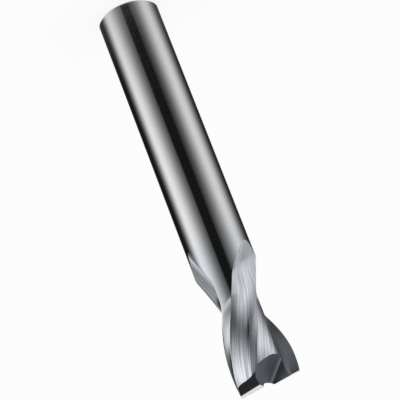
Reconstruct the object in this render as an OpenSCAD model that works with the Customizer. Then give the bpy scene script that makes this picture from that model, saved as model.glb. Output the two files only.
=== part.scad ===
// Two-flute slot drill, ground from one round carbide blank.
// It stands on the flat end of its shank, with the cutting end up.

/* [Blank] */
// Diameter of the shank
shank_d = 10; // [8:0.01:12]
// Cutting diameter, ground a little under the shank's
cut_d = 9.96; // [8:0.01:12]
// Overall length
overall_l = 66; // [50:1:120]
// Distance from the tip to which the cutting diameter is ground
cut_l = 23; // [18:0.5:32]
// Back taper: loss of radius from the tip to there
back_taper = 0.02; // [0.01:0.01:0.05]
// Height of the chamfer at the back end of the shank
chamfer_h = 0.6; // [0.2:0.1:1.5]
// Angle between the chamfer and the end face
chamfer_angle = 45; // [30:1:60]

/* [Flutes] */
// Helix angle at the cutting diameter
helix_angle = 28.5; // [24:0.1:33]
// Diameter of the core between the two flutes
core_d = 5.95; // [5:0.05:6.2]
// Radial rake angle of the teeth
rake_angle = 8.5; // [4:0.5:12]
// Radius at the root of the rake face
root_r = 0.63; // [0.4:0.01:1]
// Distance from the axis to the crest between the two flute cuts
crest_r = 3.6; // [3.3:0.05:3.9]
// Angle from the cutting edge round to that crest
crest_angle = 99.3; // [94:0.1:106]
// Distance from the axis to the bottom of the back cut
back_r = 2.91; // [2.7:0.01:3.2]
// Angle from the cutting edge round to the bottom of the back cut
back_angle = 118.4; // [113:0.1:124]
// Bulge of its side towards the heel
back_bulge = 0.15; // [0:0.05:0.3]
// Length of the rounding on each side of that bottom
back_soft = 0.6; // [0.2:0.1:0.9]

/* [Flute run-outs] */
// Distance from the tip at which the flute cut stops turning
flute_turn_l = 12.6; // [10:0.1:18]
// Distance from the tip at which the flute cut starts to lift
flute_lift_l = 13.2; // [9:0.1:18]
// Direction in which the flute cut lifts, from the cutting edge
flute_lift_angle = 68; // [35:1:80]
// Slope of the flute wheel's way out
flute_exit_angle = 20.8; // [15:0.5:30]
// Radius at the start of the flute wheel's way out
flute_exit_r = 4.6; // [2:0.1:12]
// Slant of the flute wheel, lifting its floor before its wall
flute_slant = 0.59; // [0.2:0.01:0.8]
// Distance from the tip at which the back cut stops turning
back_turn_l = 15; // [12:0.1:20]
// Distance from the tip at which the back cut starts to lift
back_lift_l = 17.1; // [12:0.1:20]
// Direction in which the back cut lifts, from the cutting edge
back_lift_angle = 72; // [70:1:110]
// Slope of the back wheel's way out
back_exit_angle = 27.7; // [18:0.5:35]
// Radius at the start of the back wheel's way out
back_exit_r = 7.8; // [2:0.1:12]
// Slant of the back wheel, lifting its heel side before its crest side
back_slant = 0.73; // [0.2:0.01:0.8]
// Length on each side of those places over which the turning dies out
turn_soft = 1.5; // [0.5:0.1:3]

/* [Lands] */
// Width of the round margin behind each cutting edge
margin_w = 0.3; // [0.15:0.05:0.6]
// Width of each land, from the cutting edge to the heel
land_w = 1.65; // [1.3:0.05:1.9]
// Depth of the heel below the cutting diameter
heel_drop = 0.21; // [0.15:0.01:0.4]
// Distance from the tip at which the relief of the land ends
relief_l = 12; // [9:0.1:18]
// Slope at which the relief of the land ends
relief_exit_angle = 35; // [32:1:50]

/* [End teeth] */
// Angle at which the end edges fall towards the centre
dish_angle = 2; // [0.5:0.5:4]
// Width of the first relief behind the end edges
end_relief_w = 1.02; // [0.5:0.05:1.3]
// Angle of the first relief
end_relief_angle = 8; // [4:0.5:12]
// Angle of the second relief
heel_relief_angle = 46; // [35:1:55]

/* [Gashes] */
// Slope of the gash floor, out along the tooth
gash_angle = 41; // [30:1:50]
// Slope of the gash floor across the tooth
gash_side_angle = 10; // [5:1:20]
// Radius between the floor and the wall of the gash
gash_r = 0.6; // [0.2:0.05:0.8]
// Distance past the centre at which the gash floor of the long tooth comes out
long_reach = 1; // [0.8:0.05:1.5]
// The same for the short tooth
short_reach = -0.1; // [-0.4:0.05:0.2]
// Distance past the centre at which the steep end of the gash stands
gash_end_l = 0.85; // [0.6:0.05:1.2]
// Slope of that steep end
gash_end_angle = 73; // [60:1:85]

/* [Hidden] */
flutes = 2;
tool_r = cut_d/2;
shank_r = shank_d/2;
core_r = core_d/2;
turn_rate = 180/PI*tan(helix_angle)/tool_r;
skin = 0.3;
gash_ahead = 0.05;
space = 5*tool_r;
clear_r = 1.35*tool_r;
over = 1;
relief_exit_r = 1.5;
step_l = 0.6;
land_angle = 180/PI*land_w/tool_r;
margin_angle = 180/PI*margin_w/tool_r;
heel_r = tool_r - heel_drop;
heel_angle = 360/flutes - land_angle;

function polar(r, a) = [r*cos(a), r*sin(a)];
function arc(c, r, a, b, n) = [for (i = [0:n]) c + polar(r, a + (b - a)*i/n)];

// Length by which the helix has turned at a distance l from the tip
function turned(l, turn_l) =
    l < turn_l - turn_soft ? l :
    l > turn_l + turn_soft ? turn_l :
    l - (l - turn_l + turn_soft)^2/(4*turn_soft);

// A wheel's way out: start, radius, slope, direction and slant
function way(start_l, r, slope, direction, slant = 0) = [start_l, r, slope, direction, slant];

// Height that the wheel has lifted, a distance s beyond the start of its way out
function lift(s, r, slope) =
    s <= 0 ? 0 :
    s < r*sin(slope) ? r - sqrt(r^2 - s^2) :
    r*(1 - cos(slope)) + (s - r*sin(slope))*tan(slope);

// Distance from the tip at which a cut of depth h has left the blank
function exit_l(w, h) =
    w[0] + w[1]*sin(w[2]) + (h - w[1]*(1 - cos(w[2])))/tan(w[2]) + w[4]*tool_r;

// Stations along the tool, measured back from the tip
function stations(end_l) =
    let (n = ceil((end_l + over)/step_l))
    [for (i = [0:n]) -over + (end_l + over)*i/n];

// Outline of the flute cut, from a point outside the blank that sees all of it:
// out to the end of the floor, then crest, core, root and rake face
function flute_profile() =
    let (
        root_c = sqrt((core_r + root_r)^2 - (root_r - tool_r*sin(rake_angle))^2),
        root_a = rake_angle + atan((root_r - tool_r*sin(rake_angle))/root_c),
        tangent_a = crest_angle - acos(core_r/crest_r),
        floor_a = tangent_a + acos(core_r/clear_r),
        tangent = polar(core_r, tangent_a),
        crest_l = norm(polar(crest_r, crest_angle) - tangent),
        along = polar(1, tangent_a + 90),
        out = clear_r - tool_r
    )
    concat(
        arc([0, 0], clear_r, (rake_angle + floor_a)/2, floor_a, 2),
        [for (l = [crest_l + 2*skin, crest_l - skin]) tangent + l*along],
        arc([0, 0], core_r, tangent_a, root_a, 7),
        arc(polar(core_r + root_r, root_a), root_r, root_a - 180 - 1, rake_angle - 90, 5),
        [for (e = [-skin, skin, out]) [tool_r + e*cos(rake_angle), e*sin(rake_angle)]],
        [polar(clear_r, rake_angle + (floor_a - rake_angle)/4)]
    );

// Outline of the back cut: a blunt valley between the crest and the heel, bulging towards the heel
function back_profile() =
    let (
        crest = polar(crest_r, crest_angle),
        valley = polar(back_r, back_angle),
        heel = polar(heel_r, heel_angle),
        crest_l = norm(crest - valley),
        heel_l = norm(heel - valley),
        to_crest = (crest - valley)/crest_l,
        to_heel = (heel - valley)/heel_l,
        heel_side = [for (u = [1.12, 0.94, 0.78, 0.62, 0.46, 0.32, back_soft/heel_l])
            valley + u*heel_l*to_heel + 4*back_bulge*u*(1 - u)*[to_heel.y, -to_heel.x]],
        soft_heel = heel_side[len(heel_side) - 1]
    )
    concat(
        [polar(2*clear_r, back_angle), valley + clear_r*to_heel],
        heel_side,
        [for (i = [1:4]) let (t = i/4)
            (1 - t)^2*soft_heel + 2*t*(1 - t)*valley + t^2*(valley + to_crest*back_soft)],
        [for (l = [crest_l - skin, crest_l + skin, clear_r]) valley + l*to_crest]
    );

// Outline of the relief behind the margin of a land, from the margin to beyond the heel
function relief_profile() =
    let (
        margin = polar(tool_r, -margin_angle),
        heel = polar(heel_r, -land_angle),
        along = (heel - margin)/norm(heel - margin)
    )
    [polar(1.15*tool_r, -(margin_angle + land_angle)/2), margin - 0.6*skin*along,
        margin + skin*along, heel, heel + 2*skin*along, polar(1.1*tool_r, -1.2*land_angle)];

// Solid swept along the flute: rings of the outline, turned with the helix and lifted at the end
module sweep(profile, turn_l, out, depth) {
    ls = stations(exit_l(out, depth));
    n = len(profile);
    up = polar(1, out[3]);
    rings = [for (l = ls)
        let (a = -turn_rate*turned(l, turn_l))
        for (p = profile)
            let (
                aside = p.y*up.x - p.x*up.y,
                q = p + up*lift(l - out[0] + out[4]*aside, out[1], out[2])
            )
            [q.x*cos(a) - q.y*sin(a), q.x*sin(a) + q.y*cos(a), overall_l - l]];
    sides = [for (j = [0:len(ls) - 2], i = [0:n - 1])
        let (a = j*n + i, b = j*n + (i + 1)%n)
        each [[a, b, b + n], [a, b + n, a + n]]];
    polyhedron(rings, concat(
        [[for (i = [n - 1:-1:0]) i]],
        sides,
        [[for (i = [0:n - 1]) (len(ls) - 1)*n + i]]
    ));
}

module blank() {
    chamfer_w = chamfer_h/tan(chamfer_angle);
    cylinder(h = chamfer_h, r1 = shank_r - chamfer_w, r2 = shank_r, $fn = 96);
    translate([0, 0, chamfer_h])
        cylinder(h = overall_l - cut_l - chamfer_h, r = shank_r, $fn = 96);
    translate([0, 0, overall_l - cut_l])
        cylinder(h = cut_l, r1 = tool_r - back_taper, r2 = tool_r, $fn = 96);
}

module flute_cut() {
    out = way(flute_lift_l, flute_exit_r, flute_exit_angle, flute_lift_angle, flute_slant);
    sweep(flute_profile(), flute_turn_l, out, tool_r - core_r + 0.5);
}

module back_cut() {
    out = way(back_lift_l, back_exit_r, back_exit_angle, back_lift_angle, back_slant);
    sweep(back_profile(), back_turn_l, out, tool_r - back_r + 0.5);
}

module relief_cut() {
    out = way(relief_l, relief_exit_r, relief_exit_angle, -land_angle/2);
    sweep(relief_profile(), overall_l, out, heel_drop + 0.2);
}

// Frame of a tooth: x out along its end edge, y in the cutting direction, zero at the tip
module on_edge() {
    rotate(rake_angle)
        translate([0, -tool_r*sin(rake_angle), overall_l])
            children();
}

// All that lies above a plane behind the end edge, which starts at a distance back from it
module above_plane(back, angle) {
    translate([tool_r*cos(rake_angle), -back, -back*tan(end_relief_angle)])
        rotate([0, -dish_angle, 0])
            rotate([angle, 0, 0])
                translate([-space/2, 0.01 - space, 0])
                    cube(space);
}

module end_relief_cut() {
    on_edge() {
        above_plane(0, end_relief_angle);
        above_plane(end_relief_w, heel_relief_angle);
    }
}

// Groove in front of an end edge: a wall along the edge, a sloping floor and a steep end
module gash_cut(reach) {
    fall = tan(gash_side_angle);
    round_y = gash_r*(1 + sin(gash_side_angle));
    on_edge()
        intersection() {
            translate([-reach, 0, 0])
                rotate([0, gash_angle, 0])
                    rotate([90, 0, 90])
                        translate([gash_ahead, 0, -space/2])
                            linear_extrude(height = space) {
                                round_z = gash_r*(1/cos(gash_side_angle) - fall);
                                polygon([[0, round_z], [round_y, -round_y*fall],
                                    [space/2, -space/2*fall], [space/2, space/2], [0, space/2]]);
                                translate([gash_r, round_z])
                                    circle(r = gash_r, $fn = 48);
                            }
            translate([-gash_end_l, -over, 0])
                rotate([0, gash_end_angle - 90, 0])
                    translate([0, 0, -space/2])
                        cube(space);
        }
}

module end_mill() {
    color([0.62, 0.64, 0.67])
        difference() {
            blank();
            for (i = [0:flutes - 1])
                rotate(360/flutes*i) {
                    flute_cut();
                    back_cut();
                    relief_cut();
                    end_relief_cut();
                    gash_cut(i == 0 ? long_reach : short_reach);
                }
        }
}

end_mill();
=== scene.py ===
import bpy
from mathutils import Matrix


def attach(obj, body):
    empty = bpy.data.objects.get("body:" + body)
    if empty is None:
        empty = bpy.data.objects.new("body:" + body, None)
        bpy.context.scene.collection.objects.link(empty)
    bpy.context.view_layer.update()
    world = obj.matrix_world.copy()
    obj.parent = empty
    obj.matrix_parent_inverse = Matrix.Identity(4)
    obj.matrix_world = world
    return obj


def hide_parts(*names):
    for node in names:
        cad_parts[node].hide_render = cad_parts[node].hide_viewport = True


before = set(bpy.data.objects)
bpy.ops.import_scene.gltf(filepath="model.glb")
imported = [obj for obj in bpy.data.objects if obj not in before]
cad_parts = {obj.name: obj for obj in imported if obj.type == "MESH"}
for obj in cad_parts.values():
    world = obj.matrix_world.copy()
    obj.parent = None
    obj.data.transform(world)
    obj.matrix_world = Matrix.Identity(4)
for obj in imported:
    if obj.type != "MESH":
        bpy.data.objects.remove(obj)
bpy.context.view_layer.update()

import math
import bpy
from mathutils import Matrix, Vector

mm = 0.001
print("frame loaded")


# outlines are in millimetres and degrees until a mesh is made
def polar(r, deg):
    return (r*math.cos(math.radians(deg)), r*math.sin(math.radians(deg)))


def arc(centre, r, start, end, count):
    points = []
    for i in range(count + 1):
        x, y = polar(r, start + (end - start)*i/count)
        points.append((centre[0] + x, centre[1] + y))
    return points


def line(a, b, count):
    return [(a[0] + (b[0] - a[0])*i/count, a[1] + (b[1] - a[1])*i/count) for i in range(count + 1)]


# one outline from runs of points, without doubles
def joined(*runs):
    points = []
    for run in runs:
        for p in run:
            if not points or math.dist(p, points[-1]) > 1e-6:
                points.append(p)
    return points


def deselectAll():
    if bpy.context.object and bpy.context.object.mode != "OBJECT":
        bpy.ops.object.mode_set(mode="OBJECT")
    bpy.ops.object.select_all(action="DESELECT")


def makeActive(obj):
    deselectAll()
    obj.select_set(True)
    bpy.context.view_layer.objects.active = obj


# the tool: sizes in millimetres, angles in degrees
mill = {
    "shankRadius": 5.0,
    "length": 66.0,
    "chamfer": 0.6,
    "cutRadius": 4.98,
    "helixAngle": 28.5,
    "coreRadius": 2.975,
    "rakeAngle": 8.5,
    "rootRadius": 0.63,
    "crestRadius": 3.6,
    "crestAngle": 99.3,
    "backRadius": 3.04,
    "backAngle": 127.0,
    "backBulge": 0.1,
    "backSoft": 1.6,
    "marginWidth": 0.3,
    "landWidth": 1.65,
    "heelDrop": 0.21,
    "dishAngle": 2.0,
    "endReliefWidth": 1.02,
    "endReliefAngle": 8.0,
    "heelReliefAngle": 46.0,
    "gashAngle": 41.0,
    "gashSideAngle": 10.0,
    "gashRadius": 0.6,
    "longReach": 1.0,
    "shortReach": -0.1,
    "gashEnd": 0.85,
    "gashEndAngle": 73.0,
}
# how each wheel leaves the blank: where it stops turning, where and which way it lifts
runOut = {
    "flute": {"turn": 12.6, "lift": 13.2, "angle": 68.0, "slope": 20.8, "radius": 4.6, "slant": 0.59},
    "back": {"turn": 15.0, "lift": 17.45, "angle": 72.0, "slope": 27.7, "radius": 7.8, "slant": 0.73},
    "relief": {"turn": 66.0, "lift": 11.6, "angle": -9.5, "slope": 12.0, "radius": 8.0, "slant": 0.0},
}
turnSoft = 1.5  # half the length in which a wheel stops turning
turnRate = math.degrees(math.tan(math.radians(mill["helixAngle"]))/mill["cutRadius"])
# points along each part of an outline
steps = {"rim": 12, "floor": 30, "core": 26, "root": 16, "rake": 24,
         "heel": 30, "bend": 12, "wall": 30, "land": 12, "gashCorner": 14}
# how far the cutters reach past what they cut
spare = {
    "tip": 1.0,  # a sweep starts this far off the tip
    "exit": 0.5,  # and goes on until it is this far outside the tool
    "sides": 1.35,  # an outline's sides end at so many radii
    "cap": 1.08, "capAfterRake": 4, "capBeforeFloor": 2,  # the flute's is closed so far out
    "valleyCap": 2,  # and the back cut's so far
    "heel": 1.12,  # the back cut's side, in lengths of the line to the heel
    "beforeMargin": 0.2, "pastHeel": 0.6, "overLand": 1.15, "behindLand": 1.1, "landTurn": 1.2,
    "relief": 0.3,
    "block": 5,  # size of the blocks for the end, in radii
    "endEdge": 0.01, "gash": 0.05,
}
sweepStep = 0.2  # between the rings of a sweep
clearRadius = spare["sides"]*mill["cutRadius"]
blockSize = spare["block"]*mill["cutRadius"]
landAngle = math.degrees(mill["landWidth"]/mill["cutRadius"])
marginAngle = math.degrees(mill["marginWidth"]/mill["cutRadius"])
heelRadius = mill["cutRadius"] - mill["heelDrop"]


# height of a wheel over its full depth, at a length s after it starts to lift
def liftAt(s, way):
    if s <= 0:
        return 0.0
    bend = way["radius"]*math.sin(math.radians(way["slope"]))
    if s < bend:
        return way["radius"] - math.sqrt(way["radius"]**2 - s*s)
    rise = way["radius"]*(1 - math.cos(math.radians(way["slope"])))
    return rise + (s - bend)*math.tan(math.radians(way["slope"]))


# length from the tip at which a wheel has left the blank
def exitLength(way, depth):
    s = 0.0
    while liftAt(s, way) < depth:
        s += 0.05
    return way["lift"] + s + way["slant"]*mill["cutRadius"]


# length by which the helix has turned at a distance s from the tip
def turnedAt(s, way):
    if s < way["turn"] - turnSoft:
        return s
    if s > way["turn"] + turnSoft:
        return way["turn"]
    return s - (s - way["turn"] + turnSoft)**2/(4*turnSoft)


# outline of the flute cut: core, root and rake face
def fluteProfile():
    r, core, root, rake = mill["cutRadius"], mill["coreRadius"], mill["rootRadius"], mill["rakeAngle"]
    rise = root - r*math.sin(math.radians(rake))
    reach = math.sqrt((core + root)**2 - rise**2)
    rootAngle = rake + math.degrees(math.atan(rise/reach))
    tangentAngle = mill["crestAngle"] - math.degrees(math.acos(core/mill["crestRadius"]))
    floorAngle = tangentAngle + math.degrees(math.acos(core/clearRadius))
    cosRake, sinRake = math.cos(math.radians(rake)), math.sin(math.radians(rake))
    wallFoot = r*cosRake - reach
    rootEnd = (r - wallFoot*cosRake, -wallFoot*sinRake)
    rimEnd = (r + (clearRadius - r)*cosRake, (clearRadius - r)*sinRake)
    return joined(
        arc((0, 0), clearRadius*spare["cap"], rake + spare["capAfterRake"],
            floorAngle - spare["capBeforeFloor"], steps["rim"]),
        line(polar(clearRadius, floorAngle), polar(core, tangentAngle), steps["floor"]),
        arc((0, 0), core, tangentAngle, rootAngle, steps["core"]),
        arc(polar(core + root, rootAngle), root, rootAngle - 180, rake - 90, steps["root"]),
        line(rootEnd, rimEnd, steps["rake"]),
    )


# outline of the back cut: a blunt valley between the crest and the heel
def backProfile():
    crest = Vector(polar(mill["crestRadius"], mill["crestAngle"]))
    valley = Vector(polar(mill["backRadius"], mill["backAngle"]))
    heel = Vector(polar(heelRadius, 180 - landAngle))
    toCrest, toHeel = (crest - valley).normalized(), (heel - valley).normalized()
    heelLength, soft = (heel - valley).length, mill["backSoft"]
    outward = Vector((toHeel.y, -toHeel.x))
    heelSide = []
    for i in range(steps["heel"] + 1):
        u = spare["heel"] + (soft/heelLength - spare["heel"])*i/steps["heel"]
        heelSide.append(valley + u*heelLength*toHeel + 4*mill["backBulge"]*u*(1 - u)*outward)
    bend = []
    for i in range(steps["bend"] + 1):
        t = i/steps["bend"]
        p = (1 - t)**2*heelSide[-1] + 2*t*(1 - t)*valley + t*t*(valley + toCrest*soft)
        bend.append(tuple(p))
    return joined(
        [polar(spare["valleyCap"]*clearRadius, mill["backAngle"]), tuple(valley + toHeel*clearRadius)],
        [tuple(p) for p in heelSide],
        bend,
        line(tuple(valley + toCrest*soft), tuple(valley + toCrest*clearRadius), steps["wall"]),
    )


# outline of the relief behind the margin of a land
def reliefProfile():
    margin = Vector(polar(mill["cutRadius"], -marginAngle))
    heel = Vector(polar(heelRadius, -landAngle))
    along = (heel - margin).normalized()
    before, past = margin - spare["beforeMargin"]*along, heel + spare["pastHeel"]*along
    return joined(
        [polar(spare["overLand"]*mill["cutRadius"], -(marginAngle + landAngle)/2)],
        line(tuple(before), tuple(past), steps["land"]),
        [polar(spare["behindLand"]*mill["cutRadius"], -spare["landTurn"]*landAngle)],
    )


# gives a mesh all finishes, and its faces one of them
def paint(mesh, slot):
    for material in finishes:
        mesh.materials.append(material)
    for polygon in mesh.polygons:
        polygon.material_index = slot


# a closed solid from rings of the same outline
def ringSolid(name, rings, slot):
    n = len(rings[0])
    verts = [tuple(c*mm for c in p) for ring in rings for p in ring]
    faces = [tuple(range(n - 1, -1, -1))]
    for j in range(len(rings) - 1):
        for i in range(n):
            a, b = j*n + i, j*n + (i + 1) % n
            faces.append((a, b, b + n, a + n))
    faces.append(tuple((len(rings) - 1)*n + i for i in range(n)))
    mesh = bpy.data.meshes.new(name)
    mesh.from_pydata(verts, [], faces)
    paint(mesh, slot)
    obj = bpy.data.objects.new(name, mesh)
    bpy.context.collection.objects.link(obj)
    makeActive(obj)
    bpy.ops.object.mode_set(mode="EDIT")
    bpy.ops.mesh.select_all(action="SELECT")
    bpy.ops.mesh.normals_make_consistent(inside=False)
    bpy.ops.object.mode_set(mode="OBJECT")
    return obj


# sweeps an outline along the tool with the helix, and lifts it out at the end;
# the faces at the outline's last points can have a slot of their own
def sweepCutter(name, profile, way, depth, toothTurn, slot, lastPoints=0, lastSlot=0):
    start, end = -spare["tip"], exitLength(way, depth)
    count = math.ceil((end - start)/sweepStep)
    ux, uy = polar(1, way["angle"])
    rings = []
    for k in range(count + 1):
        s = start + (end - start)*k/count
        a = math.radians(toothTurn - turnRate*turnedAt(s, way))
        ring = []
        for x, y in profile:
            h = liftAt(s - way["lift"] + way["slant"]*(y*ux - x*uy), way)
            qx, qy = x + h*ux, y + h*uy
            ring.append((qx*math.cos(a) - qy*math.sin(a), qx*math.sin(a) + qy*math.cos(a),
                         mill["length"] - s))
        rings.append(ring)
    wheel = ringSolid(name, rings, slot)
    for polygon in wheel.data.polygons[1:-1]:
        if (polygon.index - 1) % len(profile) >= len(profile) - lastPoints:
            polygon.material_index = lastSlot
    return wheel


# place of a tooth's end edge, its rake face along X, in millimetres or another unit
def edgePlace(toothTurn, unit=1):
    r, rake = mill["cutRadius"], math.radians(mill["rakeAngle"])
    return (
        Matrix.Rotation(math.radians(toothTurn), 4, "Z")
        @ Matrix.Rotation(rake, 4, "Z")
        @ Matrix.Translation(Vector((0, -r*math.sin(rake), mill["length"]))*unit)
    )


# a block that cuts away what lies above a plane behind the end edge
def planeCutter(name, back, angle, toothTurn, slot):
    r, rake = mill["cutRadius"], math.radians(mill["rakeAngle"])
    drop = back*math.tan(math.radians(mill["endReliefAngle"]))
    bpy.ops.mesh.primitive_cube_add(size=blockSize*mm, location=(0, 0, 0))
    obj = bpy.context.object
    obj.name = name
    obj.data.transform(
        edgePlace(toothTurn, mm)
        @ Matrix.Translation(Vector((r*math.cos(rake), -back, -drop))*mm)
        @ Matrix.Rotation(-math.radians(mill["dishAngle"]), 4, "Y")
        @ Matrix.Rotation(math.radians(angle), 4, "X")
        @ Matrix.Translation(Vector((0, spare["endEdge"] - blockSize/2, blockSize/2))*mm)
    )
    paint(obj.data, slot)
    return obj


# a gash's face is wall if it lies nearly along the rake face, and corner while it bends to the floor
alongRake = {"gashWall": 0.985, "gashCorner": 0.2}


# a gash in front of an end edge: wall, rounded corner, sloping floor, steep end
def gashCutter(name, reach, toothTurn, slot):
    rg, side = mill["gashRadius"], math.radians(mill["gashSideAngle"])
    half, fall = blockSize/2, math.tan(side)
    centre = (rg, rg*(1/math.cos(side) - fall))
    outline = joined(
        [(half, half), (0, half)],
        arc(centre, rg, 180, 270 - mill["gashSideAngle"], steps["gashCorner"]),
        [(half, -half*fall)],
    )
    edge = edgePlace(toothTurn)
    slope = (
        edge
        @ Matrix.Translation(Vector((-reach, 0, 0)))
        @ Matrix.Rotation(math.radians(mill["gashAngle"]), 4, "Y")
    )
    rings = []
    for x in (-half, half):
        rings.append([tuple(slope @ Vector((x, spare["gash"] + u, w))) for u, w in outline])
    groove = ringSolid(name, rings, slot)
    wallSide = (edge.to_3x3() @ Vector((0, 1, 0))).normalized()
    for polygon in groove.data.polygons:
        along = abs(polygon.normal.dot(wallSide))
        if along > alongRake["gashWall"]:
            polygon.material_index = slots["gashWall"]
        elif along > alongRake["gashCorner"]:
            polygon.material_index = slots["gashCorner"]
    bpy.ops.mesh.primitive_cube_add(size=blockSize*mm, location=(0, 0, 0))
    limit = bpy.context.object
    limit.data.transform(
        Matrix.Scale(mm, 4) @ edge
        @ Matrix.Translation(Vector((-mill["gashEnd"], -spare["tip"], 0)))
        @ Matrix.Rotation(math.radians(mill["gashEndAngle"] - 90), 4, "Y")
        @ Matrix.Translation(Vector((half, half, 0)))
        @ Matrix.Scale(1/mm, 4)
    )
    paint(limit.data, slot)
    cutWith(groove, limit, "INTERSECT")
    return groove


def cutWith(target, tool, operation="DIFFERENCE"):
    makeActive(target)
    modifier = target.modifiers.new("cut", "BOOLEAN")
    modifier.operation = operation
    modifier.solver = "MANIFOLD"
    modifier.object = tool
    bpy.ops.object.modifier_apply(modifier=modifier.name)
    bpy.data.objects.remove(tool, do_unlink=True)


# short forms for node trees
def node(tree, kind, **settings):
    made = tree.nodes.new(kind)
    for key, value in settings.items():
        setattr(made, key, value)
    return made


def maths(tree, operation, *values, clamp=False):
    made = node(tree, "ShaderNodeMath", operation=operation, use_clamp=clamp)
    for i, value in enumerate(values):
        if isinstance(value, (int, float)):
            made.inputs[i].default_value = value
        else:
            tree.links.new(value, made.inputs[i])
    return made.outputs[0]


# 1 between two limits, with soft edges
def window(tree, value, low, high, soft):
    rising = maths(tree, "DIVIDE", maths(tree, "SUBTRACT", value, low - soft/2), soft, clamp=True)
    falling = maths(tree, "DIVIDE", maths(tree, "SUBTRACT", high + soft/2, value), soft, clamp=True)
    return maths(tree, "MULTIPLY", rising, falling)


# marks of the grinding wheel: noise drawn out along the way that the wheel went,
# on coordinates from which the helix has been turned back
def marksGroup():
    group = bpy.data.node_groups.new("grindingMarks", "ShaderNodeTree")
    for name in ("Turn Rate", "Turn End", "Turn Soft", "Lift Start", "Lift Slope", "Lift Slant",
                 "Lift Soft", "Tool Length", "Scale", "Depth"):
        group.interface.new_socket(name, in_out="INPUT", socket_type="NodeSocketFloat")
    for name in ("Lift Way", "Stretch"):
        group.interface.new_socket(name, in_out="INPUT", socket_type="NodeSocketVector")
    group.interface.new_socket("Marks", in_out="OUTPUT", socket_type="NodeSocketFloat")
    group.interface.new_socket("Normal", in_out="OUTPUT", socket_type="NodeSocketVector")
    given, result = node(group, "NodeGroupInput"), node(group, "NodeGroupOutput")
    place = node(group, "ShaderNodeTexCoord").outputs["Object"]
    split = node(group, "ShaderNodeSeparateXYZ")
    group.links.new(place, split.inputs[0])
    fromTip = maths(group, "SUBTRACT", given.outputs["Tool Length"], split.outputs[2])
    turning = maths(group, "SMOOTH_MIN", fromTip, given.outputs["Turn End"], given.outputs["Turn Soft"])
    turned = maths(group, "MULTIPLY", turning, given.outputs["Turn Rate"])
    straight = node(group, "ShaderNodeVectorRotate", rotation_type="Z_AXIS")
    group.links.new(place, straight.inputs["Vector"])
    group.links.new(turned, straight.inputs["Angle"])
    # the lift of the wheel on its way out is taken back too, on the side of the axis where it was
    outward = node(group, "ShaderNodeVectorMath", operation="DOT_PRODUCT")
    group.links.new(straight.outputs[0], outward.inputs[0])
    group.links.new(given.outputs["Lift Way"], outward.inputs[1])
    across = node(group, "ShaderNodeVectorMath", operation="CROSS_PRODUCT")
    group.links.new(given.outputs["Lift Way"], across.inputs[0])
    group.links.new(straight.outputs[0], across.inputs[1])
    aside = node(group, "ShaderNodeSeparateXYZ")
    group.links.new(across.outputs[0], aside.inputs[0])
    side = maths(group, "SIGN", outward.outputs["Value"])
    slanted = maths(group, "MULTIPLY", maths(group, "MULTIPLY", aside.outputs[2], side),
                    given.outputs["Lift Slant"])
    run = maths(group, "ADD", maths(group, "SUBTRACT", fromTip, given.outputs["Lift Start"]), slanted)
    lift = maths(group, "MULTIPLY", maths(group, "SMOOTH_MAX", run, 0.0, given.outputs["Lift Soft"]),
                 given.outputs["Lift Slope"])
    lifted = node(group, "ShaderNodeVectorMath", operation="SCALE")
    group.links.new(given.outputs["Lift Way"], lifted.inputs[0])
    group.links.new(maths(group, "MULTIPLY", lift, side), lifted.inputs["Scale"])
    lowered = node(group, "ShaderNodeVectorMath", operation="SUBTRACT")
    group.links.new(straight.outputs[0], lowered.inputs[0])
    group.links.new(lifted.outputs[0], lowered.inputs[1])
    drawn = node(group, "ShaderNodeVectorMath", operation="MULTIPLY")
    group.links.new(lowered.outputs[0], drawn.inputs[0])
    group.links.new(given.outputs["Stretch"], drawn.inputs[1])
    # coarse streaks, and finer ones among them
    layers = []
    for fineness, detail, share in ((1.0, 2.0, 0.7), (3.3, 1.0, 0.3)):
        noise = node(group, "ShaderNodeTexNoise")
        group.links.new(drawn.outputs[0], noise.inputs["Vector"])
        group.links.new(maths(group, "MULTIPLY", given.outputs["Scale"], fineness), noise.inputs["Scale"])
        noise.inputs["Detail"].default_value = detail
        layers.append(maths(group, "MULTIPLY", noise.outputs[0], share))
    marks = maths(group, "ADD", *layers)
    bump = node(group, "ShaderNodeBump")
    group.links.new(given.outputs["Depth"], bump.inputs["Distance"])
    group.links.new(marks, bump.inputs["Height"])
    group.links.new(marks, result.inputs["Marks"])
    group.links.new(bump.outputs[0], result.inputs["Normal"])
    return group


# a colour mixed by a share, or multiplied in by it
def mixed(tree, share, first, second, blend="MIX"):
    mix = node(tree, "ShaderNodeMix", data_type="RGBA", blend_type=blend)
    tree.links.new(share, mix.inputs[0])
    for socket, colour in ((mix.inputs[6], first), (mix.inputs[7], second)):
        if isinstance(colour, tuple):
            socket.default_value = colour
        else:
            tree.links.new(colour, socket)
    return mix.outputs[2]


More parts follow.
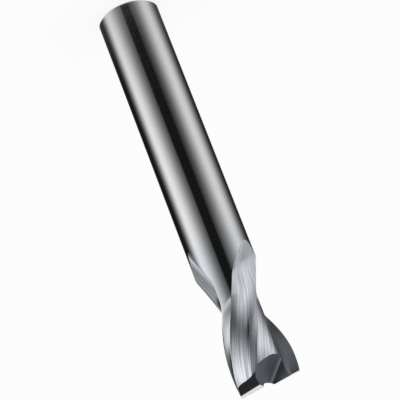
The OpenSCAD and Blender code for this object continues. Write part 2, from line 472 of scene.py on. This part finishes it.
# a finish: metal with its marks, which also change its colour and roughness a little
def groundFinish(name, look):
    material = bpy.data.materials.new(name)
    material.use_nodes = True
    tree = material.node_tree
    shader = tree.nodes["Principled BSDF"]
    shader.inputs["Metallic"].default_value = 1.0
    marks = node(tree, "ShaderNodeGroup", node_tree=grindingMarks)
    given = {"Tool Length": mill["length"]*mm, "Stretch": look["stretch"], "Scale": look["scale"],
             "Depth": look["depth"]*mm}
    if look["wheel"]:
        way = runOut[look["wheel"]]
        slope = math.radians(way["slope"])
        bendHalf = way["radius"]*math.tan(slope/2)
        bendRise = way["radius"] - math.sqrt(way["radius"]**2 - bendHalf**2)
        given |= {
            "Turn Rate": math.radians(turnRate)/mm,
            "Turn End": way["turn"]*mm,
            "Turn Soft": 1.5*turnSoft*mm,  # a smooth minimum rounds its corner by a sixth of this
            "Lift Start": (way["lift"] + bendHalf)*mm,
            "Lift Slope": math.tan(slope),
            "Lift Slant": way["slant"],
            "Lift Soft": 6*bendRise/math.tan(slope)*mm,
            "Lift Way": (*polar(1, way["angle"]), 0),
        }
    for socket, value in given.items():
        marks.inputs[socket].default_value = value
    clear = node(tree, "ShaderNodeMapRange")
    clear.inputs["From Min"].default_value, clear.inputs["From Max"].default_value = streakRange
    tree.links.new(marks.outputs["Marks"], clear.inputs["Value"])
    streak = (*[c*(1 - look["shade"]) for c in look["colour"][:3]], 1)
    colour = mixed(tree, clear.outputs[0], streak, look["colour"])
    # painted light: towards the tip the colour is multiplied by a tint, which stands in for reflected
    # colour or for shade
    if "paintedLightTint" in look:
        height = node(tree, "ShaderNodeSeparateXYZ")
        tree.links.new(node(tree, "ShaderNodeTexCoord").outputs["Object"], height.inputs[0])
        paintedLightRamp = node(tree, "ShaderNodeMapRange", interpolation_type="SMOOTHSTEP")
        paintedLightRamp.inputs["From Min"].default_value = look["paintedLightFrom"]*mm
        paintedLightRamp.inputs["From Max"].default_value = look["paintedLightTo"]*mm
        tree.links.new(height.outputs[2], paintedLightRamp.inputs["Value"])
        colour = mixed(tree, paintedLightRamp.outputs[0], colour, look["paintedLightTint"], "MULTIPLY")
    tree.links.new(colour, shader.inputs["Base Color"])
    rough = maths(tree, "ADD", maths(tree, "MULTIPLY", clear.outputs[0], look["roughSpread"]),
                  look["roughness"])
    tree.links.new(rough, shader.inputs["Roughness"])
    tree.links.new(marks.outputs["Normal"], shader.inputs["Normal"])
    return material


grindingMarks = marksGroup()
streakRange = (0.35, 0.65)  # the marks' values that read as darkest and clearest
# "wheel" names the way that the marks follow, "scale" is in waves a metre, "depth" in millimetres,
# and a painted light tint, for painted reflection colour or painted shade, comes in along the tool between
# two heights
# the finishes' bluish casts stand in for the bluish surroundings they reflect: painted reflection colour
looks = {
    # the shank turns bluish towards the flutes: painted reflection colour of bluish surroundings, not a
    # colour of the metal
    "polishedShank": {
        "colour": (0.62, 0.62, 0.62, 1), "shade": 0.03, "roughness": 0.07, "roughSpread": 0.03,
        "wheel": None, "stretch": (0.04, 0.04, 1.0), "scale": 6000, "depth": 0.0004,
        "paintedLightTint": (0.89, 0.95, 1.0, 1), "paintedLightFrom": 40, "paintedLightTo": 46},
    # the flutes are set lighter than the shank, to the brightness of their reflections: painted light
    "groundFlute": {
        "colour": (0.82, 0.86, 0.92, 1), "shade": 0.45, "roughness": 0.16, "roughSpread": 0.08,
        "wheel": "flute", "stretch": (1.0, 1.0, 0.022), "scale": 4000, "depth": 0.04},
    "groundBack": {
        "colour": (0.88, 0.92, 0.98, 1), "shade": 0.5, "roughness": 0.13, "roughSpread": 0.06,
        "wheel": "back", "stretch": (1.0, 1.0, 0.022), "scale": 4000, "depth": 0.035},
    # towards the tip the back wall's colour is darkened to about a third: painted shade
    "backWall": {
        "colour": (0.84, 0.88, 0.94, 1), "shade": 0.45, "roughness": 0.22, "roughSpread": 0.08,
        "wheel": "back", "stretch": (1.0, 1.0, 0.022), "scale": 4000, "depth": 0.05,
        "paintedLightTint": (0.3, 0.31, 0.33, 1), "paintedLightFrom": 56.5, "paintedLightTo": 61},
    "endRelief": {
        "colour": (0.84, 0.85, 0.87, 1), "shade": 0.06, "roughness": 0.16, "roughSpread": 0.05,
        "wheel": None, "stretch": (1.0, 0.06, 0.06), "scale": 4000, "depth": 0.004},
    "groundRelief": {
        "colour": (0.57, 0.59, 0.62, 1), "shade": 0.06, "roughness": 0.14, "roughSpread": 0.05,
        "wheel": "relief", "stretch": (1.0, 1.0, 0.06), "scale": 4000, "depth": 0.003},
    # the rake face is the flute's own ground surface set much darker: painted shade where it turns from the
    # light
    "rakeFace": {
        "colour": (0.33, 0.358, 0.395, 1), "shade": 0.12, "roughness": 0.3, "roughSpread": 0.05,
        "wheel": "flute", "stretch": (1.0, 1.0, 0.035), "scale": 5000, "depth": 0.008},
    # the end heel's near-black colour is painted shade, not a colour of the carbide
    "endHeel": {
        "colour": (0.098, 0.104, 0.115, 1), "shade": 0.15, "roughness": 0.25, "roughSpread": 0.06,
        "wheel": None, "stretch": (0.06, 1.0, 0.06), "scale": 4000, "depth": 0.006},
    "gashFloor": {
        "colour": (0.55, 0.59, 0.65, 1), "shade": 0.15, "roughness": 0.5, "roughSpread": 0.06,
        "wheel": None, "stretch": (0.06, 1.0, 0.06), "scale": 4000, "depth": 0.006},
    "gashCorner": {
        "colour": (0.47, 0.5, 0.55, 1), "shade": 0.15, "roughness": 0.6, "roughSpread": 0.06,
        "wheel": None, "stretch": (0.06, 1.0, 0.06), "scale": 4000, "depth": 0.006},
    # the gash wall's near-black colour is painted shade, for the wall hidden from the light inside the gash
    "gashWall": {
        "colour": (0.1, 0.108, 0.12, 1), "shade": 0.2, "roughness": 0.25, "roughSpread": 0.05,
        "wheel": None, "stretch": (0.06, 1.0, 1.0), "scale": 4000, "depth": 0.006},
}
finishes = [groundFinish(name, looks[name]) for name in looks]
slots = {name: i for i, name in enumerate(looks)}
print("finishes made")

# the round blank: a cylinder with its end bevelled and rings cut along it
blank = {"sides": 256, "ringsEvery": 1.5, "lastRing": 0.2, "endAt": 1e-6, "smoothAngle": 16}
deselectAll()
bpy.ops.mesh.primitive_cylinder_add(
    vertices=blank["sides"], radius=mill["shankRadius"]*mm, depth=mill["length"]*mm,
    location=(0, 0, mill["length"]*mm/2))
tool = bpy.context.object
tool.name = "groundEndMill"
bpy.ops.object.transform_apply(location=True, rotation=True, scale=True)
paint(tool.data, slots["polishedShank"])
bpy.ops.object.mode_set(mode="EDIT")
bpy.ops.mesh.select_mode(type="EDGE")
bpy.ops.mesh.select_all(action="DESELECT")
bpy.ops.object.mode_set(mode="OBJECT")
for edge in tool.data.edges:
    edge.select = all(tool.data.vertices[i].co.z < blank["endAt"] for i in edge.vertices)
bpy.ops.object.mode_set(mode="EDIT")
bpy.ops.mesh.bevel(offset=mill["chamfer"]*mm, offset_type="WIDTH", segments=1)
height = mill["chamfer"] + blank["ringsEvery"]
while height < mill["length"] - blank["lastRing"]:
    bpy.ops.mesh.select_all(action="SELECT")
    bpy.ops.mesh.bisect(plane_co=(0, 0, height*mm), plane_no=(0, 0, 1))
    height += blank["ringsEvery"]
bpy.ops.object.mode_set(mode="OBJECT")
print("blank turned")

# each tooth's cuts: flute, back and relief, then the end's two reliefs and its gash
rim = mill["cutRadius"] + spare["exit"]
rakePoints = steps["root"] + steps["rake"]
wallPoints = steps["wall"] + steps["bend"]//2
for turn, reach in ((0, mill["longReach"]), (180, mill["shortReach"])):
    cutWith(tool, sweepCutter("fluteWheel", fluteProfile(), runOut["flute"],
                              rim - mill["coreRadius"], turn, slots["groundFlute"],
                              rakePoints, slots["rakeFace"]))
    cutWith(tool, sweepCutter("backWheel", backProfile(), runOut["back"],
                              rim - mill["backRadius"], turn, slots["groundBack"],
                              wallPoints, slots["backWall"]))
    cutWith(tool, sweepCutter("reliefWheel", reliefProfile(), runOut["relief"],
                              mill["heelDrop"] + spare["relief"], turn, slots["groundRelief"]))
    cutWith(tool, planeCutter("endWheel", 0, mill["endReliefAngle"], turn, slots["endRelief"]))
    cutWith(tool, planeCutter("endHeelWheel", mill["endReliefWidth"], mill["heelReliefAngle"],
                              turn, slots["endHeel"]))
    cutWith(tool, gashCutter("gashWheel", reach, turn, slots["gashFloor"]))
makeActive(tool)
bpy.ops.object.shade_smooth_by_angle(angle=math.radians(blank["smoothAngle"]))
print("flutes and end teeth ground", len(tool.data.polygons))

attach(tool, "root")
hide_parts("end_mill")

# the floor: nearly all glow to the camera, pale paint to the light, and not in reflections
ground = {"size": 4, "colour": (0.95, 0.95, 0.95, 1), "roughness": 0.9, "glow": 0.85}
deselectAll()
bpy.ops.mesh.primitive_plane_add(size=ground["size"], location=(0, 0, 0))
floor = bpy.context.object
floor.name = "paleFloor"
floorPaint = bpy.data.materials.new("paleFloor")
floorPaint.use_nodes = True
tree = floorPaint.node_tree
pale = tree.nodes["Principled BSDF"]
pale.inputs["Base Color"].default_value = ground["colour"]
pale.inputs["Roughness"].default_value = ground["roughness"]
seen = node(tree, "ShaderNodeLightPath").outputs["Is Camera Ray"]
blend = node(tree, "ShaderNodeMixShader")
tree.links.new(maths(tree, "MULTIPLY", seen, ground["glow"]), blend.inputs[0])
tree.links.new(pale.outputs[0], blend.inputs[1])
tree.links.new(node(tree, "ShaderNodeEmission").outputs[0], blend.inputs[2])
tree.links.new(blend.outputs[0], tree.nodes["Material Output"].inputs["Surface"])
floor.data.materials.append(floorPaint)
floor.visible_glossy = False

# camera, fitted to the photo: its place is in millimetres, its clip in metres
view = {"place": (93.872, 257.547, 142.299), "right": (0.831007, -0.443313, 0.336008),
        "down": (-0.456248, -0.19764, 0.867626), "ahead": (-0.318222, -0.874307, -0.366501),
        "lens": 171.0, "sensor": 36, "clip": (0.01, 20)}
cameraData = bpy.data.cameras.new("camera")
cameraData.lens = view["lens"]
cameraData.sensor_width = view["sensor"]
cameraData.clip_start, cameraData.clip_end = view["clip"]
camera = bpy.data.objects.new("camera", cameraData)
bpy.context.collection.objects.link(camera)
pose = Matrix.Identity(4)
for row in range(3):
    pose[row][0] = view["right"][row]
    pose[row][1] = -view["down"][row]
    pose[row][2] = -view["ahead"][row]
    pose[row][3] = view["place"][row]*mm
camera.matrix_world = pose
bpy.context.scene.camera = camera

# the light tent, seen only in reflections: a dark cloth with soft boxes, a dark card in front of
# the tool, for the shank's stripe, and a bright backing behind it. Angles are in degrees: the turn
# goes round from the camera's side, plus to the left in the picture, and the tilt goes up
tent = {
    "radius": 3.0, "middle": 0.04, "cameraSide": 70.0, "dark": 0.012,
    # turn, tilt, reach to minus and plus, reach up and down, level
    "boxes": {
        "right": (-78, -20, 33, 33, 33, 14, 1.0),
        "left": (78, -18, 40, 22, 14, 14, 1.26),
        "leftUpper": (54, 18, 56, 27, 7, 22, 1.3),
        "frontLower": (13, -37, 71, 51, 7, 18, 0.84),
        "behindRight": (-117, 0, 90, 18, 7, 14, 0.5),
        "behindLeft": (126, 15, 26, 88, 60, 20, 0.66),
        "behindLower": (180, -40, 50, 50, 10, 18, 0.8),
        "between": (-34, -10, 16, 16, 8, 9, 0.3),
        "below": (0, -80, 400, 400, 22, 90, 0.16),
        "nadir": (0, -90, 400, 400, 22, 90, 0.35),
        "above": (0, 68, 400, 400, 90, 24, 0.13),
        "zenith": (0, 90, 400, 400, 90, 20, 0.55),
    },
    "card": {"turn": (-17.0, 14.5), "tilt": (-30.0, -16.0), "soft": 4.0, "depth": 0.97},
    "backing": {"turn": (158.0, 176.0), "tilt": (-45.0, 45.0), "soft": 4.0, "level": 0.9},
}
deselectAll()
bpy.ops.mesh.primitive_uv_sphere_add(segments=64, ring_count=32, radius=tent["radius"],
                                     location=(0, 0, tent["middle"]))
tentWall = bpy.context.object
tentWall.name = "lightTent"
tentWall.rotation_euler[2] = math.radians(tent["cameraSide"])
tentCloth = bpy.data.materials.new("lightTent")
tentCloth.use_nodes = True
tree = tentCloth.node_tree
tree.nodes.clear()
place = node(tree, "ShaderNodeTexCoord").outputs["Object"]
split = node(tree, "ShaderNodeSeparateXYZ")
tree.links.new(place, split.inputs[0])
degrees = 180/math.pi
turnAngle = maths(tree, "MULTIPLY", maths(tree, "ARCTAN2", split.outputs[1], split.outputs[0]), degrees)
height = maths(tree, "DIVIDE", split.outputs[2], tent["radius"])
tiltAngle = maths(tree, "MULTIPLY", maths(tree, "ARCSINE", height), degrees)
glow = 0.0
for turn, tilt, toMinus, toPlus, up, down, level in tent["boxes"].values():
    off = maths(tree, "WRAP", maths(tree, "SUBTRACT", turnAngle, turn), 180, -180)
    aside = maths(tree, "MAXIMUM", maths(tree, "DIVIDE", off, toPlus), maths(tree, "DIVIDE", off, -toMinus))
    rise = maths(tree, "SUBTRACT", tiltAngle, tilt)
    above = maths(tree, "MAXIMUM", maths(tree, "DIVIDE", rise, up), maths(tree, "DIVIDE", rise, -down))
    share = maths(tree, "ADD", maths(tree, "POWER", aside, 2.0), maths(tree, "POWER", above, 4.0))
    lobe = maths(tree, "EXPONENT", maths(tree, "MULTIPLY", share, -1.0))
    glow = maths(tree, "ADD", glow, maths(tree, "MULTIPLY", lobe, level))
card = tent["card"]
shade = maths(tree, "MULTIPLY", window(tree, turnAngle, *card["turn"], card["soft"]),
              window(tree, tiltAngle, *card["tilt"], card["soft"]))
kept = maths(tree, "SUBTRACT", 1.0, maths(tree, "MULTIPLY", shade, card["depth"]))
glow = maths(tree, "MAXIMUM", maths(tree, "MULTIPLY", glow, kept), tent["dark"])
backing = tent["backing"]
nearest, furthest = backing["turn"]
past = maths(tree, "SUBTRACT", maths(tree, "ABSOLUTE", turnAngle), nearest)
away = maths(tree, "MULTIPLY", maths(tree, "DIVIDE", past, furthest - nearest, clamp=True),
             window(tree, tiltAngle, *backing["tilt"], backing["soft"]))
glow = maths(tree, "MAXIMUM", glow, maths(tree, "MULTIPLY", away, backing["level"]))
emission = node(tree, "ShaderNodeEmission")
tree.links.new(glow, emission.inputs["Strength"])
tree.links.new(emission.outputs[0], node(tree, "ShaderNodeOutputMaterial").inputs["Surface"])
tentWall.data.materials.append(tentCloth)
for ray in ("camera", "diffuse", "transmission", "shadow", "volume_scatter"):
    setattr(tentWall, "visible_" + ray, False)

# the room: white to the camera and in reflections, a little less to the rest
room = {"colour": (1, 1, 1, 1), "light": 0.9}
world = bpy.data.worlds.new("studio")
bpy.context.scene.world = world
world.use_nodes = True
tree = world.node_tree
background = tree.nodes["Background"]
rays = node(tree, "ShaderNodeLightPath").outputs
seen = maths(tree, "MAXIMUM", maths(tree, "MAXIMUM", rays["Is Camera Ray"], rays["Is Glossy Ray"]),
             rays["Is Transmission Ray"])
strength = maths(tree, "ADD", maths(tree, "MULTIPLY", seen, 1 - room["light"]), room["light"])
tree.links.new(strength, background.inputs["Strength"])
background.inputs["Color"].default_value = room["colour"]
bpy.context.scene.view_settings.view_transform = "Standard"
print("stage set")
